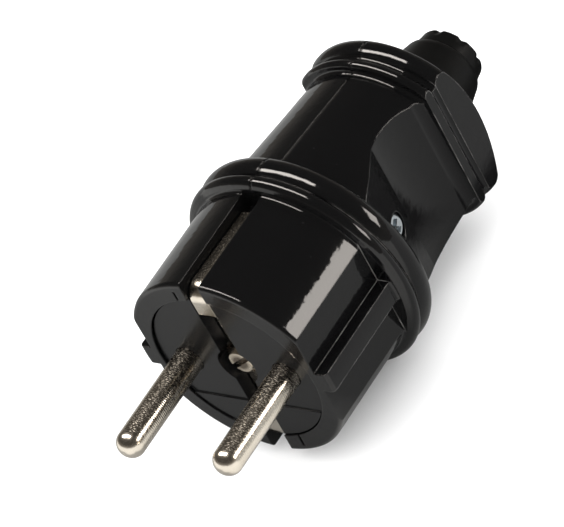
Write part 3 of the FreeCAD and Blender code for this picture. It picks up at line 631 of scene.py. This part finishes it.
class ShellLook(bpy.types.PropertyGroup):
    """Looks of the two half shells."""
    tint: FloatVectorProperty(name="Tint", description="Colour of the moulding", subtype="COLOR", size=3,
                              min=0.0, max=1.0, default=(0.0022, 0.0022, 0.0023))
    # Colour of the lightened side edges: partly wear, partly painted edge highlight
    edge_wear_and_highlight: FloatVectorProperty(name="Edge Wear And Highlight", description="Colour of the rubbed edges", subtype="COLOR", size=3,
                              min=0.0, max=1.0, default=(0.13, 0.125, 0.12))
    gloss: FloatProperty(name="Roughness", description="Roughness of the polished wall", subtype="FACTOR",
                         min=0.0, max=1.0, default=0.045)
    rim_roughness: FloatProperty(name="Rim Roughness", description="Roughness of the grained front rim",
                                 subtype="FACTOR", min=0.0, max=1.0, default=0.2)
    rim_depth: FloatProperty(name="Rim Depth", description="How far back the front rim's grain reaches",
                             unit="LENGTH", default=0.00025, precision=5)
    wave_depth: FloatProperty(name="Wave Depth", description="Height of the slow waves in the moulded wall",
                              unit="LENGTH", default=0.00006, precision=6)
    edge_round: FloatProperty(name="Edge Round", description="Radius that edges are shaded with",
                              unit="LENGTH", default=0.00032, precision=5)
    sheen: FloatProperty(name="Sheen", description="Share of light that the surface mirrors",
                         subtype="FACTOR", min=0.0, max=1.0, default=0.34)


class CarrierLook(bpy.types.PropertyGroup):
    """Looks of the pin carrier and the cord clamp."""
    tint: FloatVectorProperty(name="Tint", description="Colour of the moulding", subtype="COLOR", size=3,
                              min=0.0, max=1.0, default=(0.0034, 0.0034, 0.0035))
    roughness: FloatProperty(name="Roughness", description="Roughness of the grained face", subtype="FACTOR",
                             min=0.0, max=1.0, default=0.17)
    grain_depth: FloatProperty(name="Grain Depth", description="Height of the spark-cut grain",
                               unit="LENGTH", default=0.00002, precision=6)
    edge_round: FloatProperty(name="Edge Round", description="Radius that edges are shaded with",
                              unit="LENGTH", default=0.00015, precision=5)
    sheen: FloatProperty(name="Sheen", description="Share of light that the surface mirrors",
                         subtype="FACTOR", min=0.0, max=1.0, default=0.22)


class NickelLook(bpy.types.PropertyGroup):
    """Looks of the plated pins and the earth strip."""
    bright: FloatVectorProperty(name="Bright", description="Colour of the clean plating", subtype="COLOR",
                                size=3, min=0.0, max=1.0, default=(0.76, 0.71, 0.63))
    dull: FloatVectorProperty(name="Dull", description="Colour of the handled plating", subtype="COLOR",
                              size=3, min=0.0, max=1.0, default=(0.52, 0.47, 0.39))
    roughness: FloatProperty(name="Roughness", description="Roughness of the plating", subtype="FACTOR",
                             min=0.0, max=1.0, default=0.1)
    torn: FloatProperty(name="Torn Metal", description="Roughness that torn spots add to the turned pins",
                        subtype="FACTOR", min=0.0, max=1.0, default=0.19)
    ring_pitch: FloatProperty(name="Ring Pitch", description="Spacing of the turning rings",
                              unit="LENGTH", default=0.00036, precision=6)
    ring_depth: FloatProperty(name="Ring Depth", description="Height of the turning rings",
                              unit="LENGTH", default=0.00001, precision=7)


class ScrewLook(bpy.types.PropertyGroup):
    """Looks and sizes of the screws."""
    zinc: FloatVectorProperty(name="Zinc", description="Colour of the zinc plating", subtype="COLOR", size=3,
                              min=0.0, max=1.0, default=(0.70, 0.77, 0.85))
    nickel: FloatVectorProperty(name="Nickel", description="Colour of the earth screw's plating",
                                subtype="COLOR", size=3, min=0.0, max=1.0, default=(0.84, 0.76, 0.64))
    tarnish: FloatVectorProperty(name="Tarnish", subtype="COLOR", size=3, min=0.0, max=1.0,
                                 description="Colour that the earth screw's plating drifts to",
                                 default=(0.46, 0.38, 0.28))
    # Colour of the washer's soil, also used for the painted shade round the earth screw's slot
    soil_and_painted_shade: FloatVectorProperty(name="Soil", description="Colour of the soil on the earth screw and its washer",
                              subtype="COLOR", size=3, min=0.0, max=1.0, default=(0.07, 0.045, 0.028))
    # Radius of the painted shade in the middle of the earth screw's head
    painted_shade_radius: FloatProperty(name="Painted Shade Radius", description="Radius of the soiled middle of the earth screw",
                          unit="LENGTH", default=0.0018, precision=6)
    passivation: FloatVectorProperty(name="Passivation", description="Colour that the plating drifts to",
                                     subtype="COLOR", size=3, min=0.0, max=1.0, default=(0.66, 0.70, 0.70))
    roughness: FloatProperty(name="Roughness", description="Roughness of the plating", subtype="FACTOR",
                             min=0.0, max=1.0, default=0.14)
    mark_depth: FloatProperty(name="Mark Depth", description="Height of the tool marks", unit="LENGTH",
                              default=0.00002, precision=7)
    pitch: FloatProperty(name="Thread Pitch", description="Distance between turns of the thread",
                         unit="LENGTH", default=0.0005, precision=5)
    thread_height: FloatProperty(name="Thread Height", description="Height of the thread's ridge",
                                 unit="LENGTH", default=0.0001, precision=5)
    crossed_housing: BoolProperty(name="Crossed Housing Screw", default=True,
                                  description="Cut a cross in the housing screw's head in place of one slot")


class SleeveLook(bpy.types.PropertyGroup):
    """Looks and sizes of the bend relief."""
    tint: FloatVectorProperty(name="Tint", description="Colour of the rubber", subtype="COLOR", size=3,
                              min=0.0, max=1.0, default=(0.0018, 0.0018, 0.0017))
    roughness: FloatProperty(name="Roughness", description="Roughness of the rubber", subtype="FACTOR",
                             min=0.0, max=1.0, default=0.3)
    sheen: FloatProperty(name="Sheen", description="Share of light that the rubber mirrors", subtype="FACTOR",
                         min=0.0, max=1.0, default=0.12)
    grain_depth: FloatProperty(name="Grain Depth", description="Height of the rubber's grain",
                               unit="LENGTH", default=0.00002, precision=6)
    bore: FloatProperty(name="Bore", description="Diameter of the way for the cord", unit="LENGTH",
                        default=0.0082, precision=5)
    notches: IntProperty(name="Notches", description="Scallops round the end", min=3, max=24, default=8)
    notch_depth: FloatProperty(name="Notch Depth", description="How far the scallops run along the sleeve",
                               unit="LENGTH", default=0.0016, precision=5)
    notch_cut: FloatProperty(name="Notch Cut", description="How far the scallops cut in", unit="LENGTH",
                             default=0.00055, precision=6)
    sides: IntProperty(name="Sides", description="Steps round the sleeve", min=24, max=512, default=192)


class StageLook(bpy.types.PropertyGroup):
    """Floor and lights."""
    floor_tint: FloatVectorProperty(name="Floor", description="Colour of the floor", subtype="COLOR", size=3,
                                    min=0.0, max=1.0, default=(0.90, 0.90, 0.90))
    floor_mirrored: FloatVectorProperty(name="Mirrored Floor", subtype="COLOR", size=3, min=0.0, max=1.0,
                                        description="Colour of the floor in polished parts",
                                        default=(0.28, 0.28, 0.275))
    # Painted reflection: colour of white cards that polished parts see in the floor; no cards stand on the
    # stage
    painted_card_reflection: FloatVectorProperty(name="Painted Card Reflections", subtype="COLOR", size=3, min=0.0, max=1.0,
                                    description="Colour of the cards beside and before the plug",
                                    default=(0.66, 0.65, 0.63))
    floor_width: FloatProperty(name="Floor Width", description="Width of the floor", unit="LENGTH",
                               default=6.0)
    ceiling: FloatProperty(name="Ceiling", min=0.0, default=2.2,
                           description="Brightness of the white ceiling that lights the floor")
    softbox: FloatProperty(name="Softbox", description="Brightness of the softboxes", min=0.0, default=60.0)
    surround: FloatVectorProperty(name="Surround", subtype="COLOR", size=3, min=0.0, max=1.0,
                                  description="Colour of the room that polished parts mirror",
                                  default=(0.30, 0.275, 0.245))
    warmth: FloatVectorProperty(name="Warmth", description="Colour of the softboxes", subtype="COLOR", size=3,
                                min=0.0, max=1.0, default=(1.0, 0.94, 0.88))


class PlugSettings(bpy.types.PropertyGroup):
    """All settings of the plug."""
    shell: PointerProperty(type=ShellLook)
    carrier: PointerProperty(type=CarrierLook)
    nickel: PointerProperty(type=NickelLook)
    screw: PointerProperty(type=ScrewLook)
    sleeve: PointerProperty(type=SleeveLook)
    stage: PointerProperty(type=StageLook)


# Operators

class PLUG_OT_finish_shells(bpy.types.Operator):
    """Give the two half shells their polished black moulding"""
    bl_idname = "plug.finish_shells"
    bl_label = "Finish Shells"

    def execute(self, context):
        material = glossy_shell(context.scene.plug.shell)
        for node in ("left_half_shell", "right_half_shell"):
            dress(node, material)
        return {"FINISHED"}


class PLUG_OT_finish_carrier(bpy.types.Operator):
    """Give the pin carrier and the cord clamp their grained mouldings"""
    bl_idname = "plug.finish_carrier"
    bl_label = "Finish Carrier"

    def execute(self, context):
        look = context.scene.plug.carrier
        dress("pin_carrier", grained_carrier(look))
        dress("cord_clamp", moulded_clamp(look))
        return {"FINISHED"}


class PLUG_OT_finish_contacts(bpy.types.Operator):
    """Plate the pins and the earth strip, and leave the earth terminal in brass"""
    bl_idname = "plug.finish_contacts"
    bl_label = "Finish Contacts"

    def execute(self, context):
        settings = context.scene.plug
        plating = turned_nickel(settings.nickel)
        for node in ("left_pin", "right_pin"):
            dress(node, plating)
        dress("earth_strip", rolled_nickel(settings.nickel))
        dress("earth_terminal", drawn_brass(settings.screw))
        return {"FINISHED"}


class PLUG_OT_make_screws(bpy.types.Operator):
    """Cut the screws of the terminals, the cord clamp, the earth strip and the housing"""
    bl_idname = "plug.make_screws"
    bl_label = "Make Screws"

    def execute(self, context):
        look = context.scene.plug.screw
        zinc = plated_steel("bluish_zinc", look, look.zinc, look.passivation)
        nickel = plated_steel("nickel_screw_steel", look, look.nickel, look.tarnish, look.painted_shade_radius)
        recipe = ScrewRecipe()
        small = {"Head Diameter": 4.6, "Head Height": 1.6, "Head Chamfer": 0.25, "Shank Diameter": 2.5,
                 "Slot Length": 4.7, "Slot Width": 0.7, "Slot Depth": 0.8, "Slot Turn": 0.0,
                 "Thread Pitch": look.pitch / MM, "Thread Height": look.thread_height / MM}
        terminals = [(-PIN_REACH, TERMINAL_SCREW_Y, -TERMINAL_RADIUS),
                     (PIN_REACH, TERMINAL_SCREW_Y, -TERMINAL_RADIUS),
                     (0.0, TERMINAL_SCREW_Y, -EARTH_BLOCK_DROP)]
        downward, outward, forward = (math.pi, 0.0, 0.0), (0.0, math.pi / 2, 0.0), (math.pi / 2, 0.0, 0.0)
        mesh = recipe.screws("terminal_screw_set", terminals, downward, small | {"Reach": 2.8}, False, zinc)
        new_piece("terminal_screw_set", mesh, zinc, ["terminal_screws"])
        clamps = [(CLAMP_SEAT, CLAMP_MIDDLE, CLAMP_SCREW_Z), (CLAMP_SEAT, CLAMP_MIDDLE, -CLAMP_SCREW_Z)]
        mesh = recipe.screws("clamp_screw_set", clamps, outward, small | {"Reach": 7.5}, False, zinc)
        new_piece("clamp_screw_set", mesh, zinc, ["clamp_screws"])
        earth = small | {"Head Diameter": 5.4, "Head Height": 1.2, "Head Chamfer": 0.7, "Shank Diameter": 3.0,
                         "Reach": 10.9, "Slot Length": 5.6, "Slot Width": 0.9,
                         "Slot Turn": math.radians(EARTH_SLOT_TURN)}
        mesh = recipe.screws("earth_screw_cut", [(0.0, EARTH_SCREW_Y, 0.0)], forward, earth, False, nickel)
        new_piece("earth_screw_cut", mesh, nickel, ["earth_screw"])
        housing = small | {"Head Diameter": 5.0, "Head Height": 1.9, "Head Chamfer": 0.5,
                           "Shank Diameter": 3.0, "Reach": 2 * HOUSING_SEAT + HOUSING_NUT,
                           "Slot Length": 3.2, "Slot Width": 0.9, "Slot Depth": 1.1,
                           "Slot Turn": math.radians(HOUSING_CROSS_TURN)}
        mesh = recipe.screws("housing_screw_cut", [(HOUSING_SEAT, HOUSING_SCREW_Y, 0.0)], outward, housing,
                             look.crossed_housing, zinc)
        new_piece("housing_screw_cut", mesh, zinc, ["housing_screw"])
        dress("housing_nut", zinc)
        dress("earth_washer", plated_steel("tarnished_washer", look, look.soil_and_painted_shade, look.soil_and_painted_shade))
        return {"FINISHED"}


class PLUG_OT_make_sleeve(bpy.types.Operator):
    """Mould the scalloped rubber sleeve at the cord entry"""
    bl_idname = "plug.make_sleeve"
    bl_label = "Make Sleeve"

    def execute(self, context):
        look = context.scene.plug.sleeve
        new_piece("bend_sleeve", sleeve_mesh(look), soft_rubber(look), ["bend_relief"])
        return {"FINISHED"}


class PLUG_OT_set_stage(bpy.types.Operator):
    """Lay the floor, hang the lights and set the camera"""
    bl_idname = "plug.set_stage"
    bl_label = "Set Stage"

    def execute(self, context):
        look = context.scene.plug.stage
        self.lay_floor(look)
        self.light_room(context.scene, look)
        self.hang_lights(look)
        self.set_camera(context.scene)
        context.scene.view_settings.view_transform = "Standard"
        return {"FINISHED"}

    @staticmethod
    def lay_floor(look):
        """A pale floor that polished parts mirror dimmer, with two painted card reflections and painted shade
        under the plug.
        """
        half = look.floor_width / 2
        level = CAD_BOX[0].z
        mesh = bpy.data.meshes.new("pale_floor")
        corners = [(-half, -half, level), (half, -half, level), (half, half, level), (-half, half, level)]
        mesh.from_pydata(corners, [], [(0, 1, 2, 3)])
        floor = bpy.data.objects.new("pale_floor", mesh)
        bpy.context.scene.collection.objects.link(floor)
        finish = Finish("pale_floor_paint")
        drifted = colour([FLOOR_DRIFT * part for part in look.floor_tint])
        tone = finish.blend(finish.noise(0.4, 2.0), colour(look.floor_tint), drifted)
        mirrored = finish.node("ShaderNodeLightPath", output="Is Glossy Ray")
        # Painted reflections: two white cards, beside and before the plug, that only polished parts see in
        # the floor
        beside = finish.fade("X", PAINTED_SIDE_REFLECTION_ACROSS) * finish.fade("Y", PAINTED_SIDE_REFLECTION_ALONG)
        ahead = finish.fade("Y", PAINTED_FRONT_REFLECTION_ALONG)
        painted_reflections = beside + ahead - beside * ahead
        # Painted shade: a dark patch under the plug's rear that only polished parts see in the floor
        painted_shade = finish.fade_aside(PAINTED_SHADE_ACROSS) * finish.fade("Y", PAINTED_SHADE_ALONG)
        shown = finish.blend(painted_reflections, colour(look.floor_mirrored), colour(look.painted_card_reflection))
        shown = finish.blend(painted_shade, shown, colour([PAINTED_SHADE_SHARE * part for part in look.floor_mirrored]))
        pale = finish.node("ShaderNodeBsdfDiffuse", inputs={"Color": tone})
        dim = finish.node("ShaderNodeBsdfDiffuse", inputs={"Color": shown})
        finish.node_output(finish.node("ShaderNodeMixShader", inputs={0: mirrored, 1: pale, 2: dim}))
        mesh.materials.append(finish.material)

    @staticmethod
    def light_room(scene, look):
        """A room with a white ceiling that the polished parts don't mirror."""
        world = bpy.data.worlds.new("room")
        world.use_nodes = True
        tree = NodeTree(world.node_tree)
        mirrored = tree.node("ShaderNodeLightPath", output="Is Glossy Ray")
        white = tree.node("ShaderNodeBackground", inputs={
            "Color": (1.0, 1.0, 1.0, 1.0), "Strength": look.ceiling})
        aim = tree.node("ShaderNodeTexCoord", output="Generated")
        height = tree.node("ShaderNodeSeparateXYZ", inputs={"Vector": aim}, output="Z")
        fade = tree.node("ShaderNodeValToRGB", {"stops": ((0.0, 1.0), (0.12, 0.8), (0.35, 0.3), (0.75, 0.2))},
                         {"Fac": height})
        dim = tree.node("ShaderNodeBackground", inputs={"Color": colour(look.surround), "Strength": fade})
        room = tree.node("ShaderNodeMixShader", inputs={0: mirrored, 1: white, 2: dim})
        end = world.node_tree.nodes.new("ShaderNodeOutputWorld")
        world.node_tree.links.new(room.socket, end.inputs["Surface"])
        world.cycles.sampling_method = "NONE"
        scene.world = world

    @staticmethod
    def hang_lights(look):
        """Softboxes that only show in polished parts: name, place, size and share of the brightness."""
        boxes = (("overhead_softbox", (-0.14, 0.0, 0.60), (0.16, 0.62), 0.38),
                 ("side_softbox", (0.50, 0.30, 0.20), (0.34, 0.13), 0.21))
        for name, place, size, share in boxes:
            light = bpy.data.lights.new(name, "AREA")
            light.shape = "RECTANGLE"
            light.size, light.size_y = size
            light.energy = look.softbox * share * math.pi * size[0] * size[1]
            light.color = look.warmth
            box = bpy.data.objects.new(name, light)
            box.location = place
            facing = Vector(LIGHT_TARGET) - Vector(place)
            box.rotation_euler = facing.to_track_quat("-Z", "Y").to_euler()
            box.visible_diffuse = False
            box.visible_camera = False
            bpy.context.scene.collection.objects.link(box)

    @staticmethod
    def set_camera(scene):
        """The camera of the photograph, from its fitted turn and shift."""
        turn = Vector(CAMERA_TURN)
        rows = Matrix.Rotation(turn.length, 3, turn.normalized())
        place = -(rows.transposed() @ Vector(CAMERA_SHIFT)) * MM
        right, down, ahead = rows[0], rows[1], rows[2]
        lens = bpy.data.cameras.new("photo_camera")
        lens.sensor_width = 36.0
        lens.lens = CAMERA_FOCUS / IMAGE_WIDTH * lens.sensor_width
        lens.clip_start = 0.01
        lens.clip_end = 20.0
        camera = bpy.data.objects.new("photo_camera", lens)
        camera.matrix_world = Matrix.Translation(place) @ Matrix((right, -down, -ahead)).transposed().to_4x4()
        scene.collection.objects.link(camera)
        scene.camera = camera


class PLUG_PT_panel(bpy.types.Panel):
    """Steps of the plug, in order"""
    bl_idname = "PLUG_PT_panel"
    bl_label = "Plug"
    bl_space_type = "VIEW_3D"
    bl_region_type = "UI"
    bl_category = "Plug"

    def draw(self, context):
        for step in STEPS:
            self.layout.operator(step.bl_idname)
        settings = context.scene.plug
        for part in ("shell", "carrier", "nickel", "screw", "sleeve", "stage"):
            box = self.layout.box()
            box.label(text=part.title())
            group = getattr(settings, part)
            for name in group.__annotations__:
                box.prop(group, name)


STEPS = (PLUG_OT_finish_shells, PLUG_OT_finish_carrier, PLUG_OT_finish_contacts, PLUG_OT_make_screws,
         PLUG_OT_make_sleeve, PLUG_OT_set_stage)
GROUPS = (ShellLook, CarrierLook, NickelLook, ScrewLook, SleeveLook, StageLook, PlugSettings)


def register():
    for item in GROUPS + STEPS + (PLUG_PT_panel,):
        bpy.utils.register_class(item)
    bpy.types.Scene.plug = PointerProperty(type=PlugSettings)


def unregister():
    del bpy.types.Scene.plug
    for item in reversed(GROUPS + STEPS + (PLUG_PT_panel,)):
        bpy.utils.unregister_class(item)


def main():
    register()
    bpy.ops.plug.finish_shells()
    bpy.ops.plug.finish_carrier()
    bpy.ops.plug.finish_contacts()
    bpy.ops.plug.make_screws()
    bpy.ops.plug.make_sleeve()
    bpy.ops.plug.set_stage()


if __name__ == "__main__":
    main()
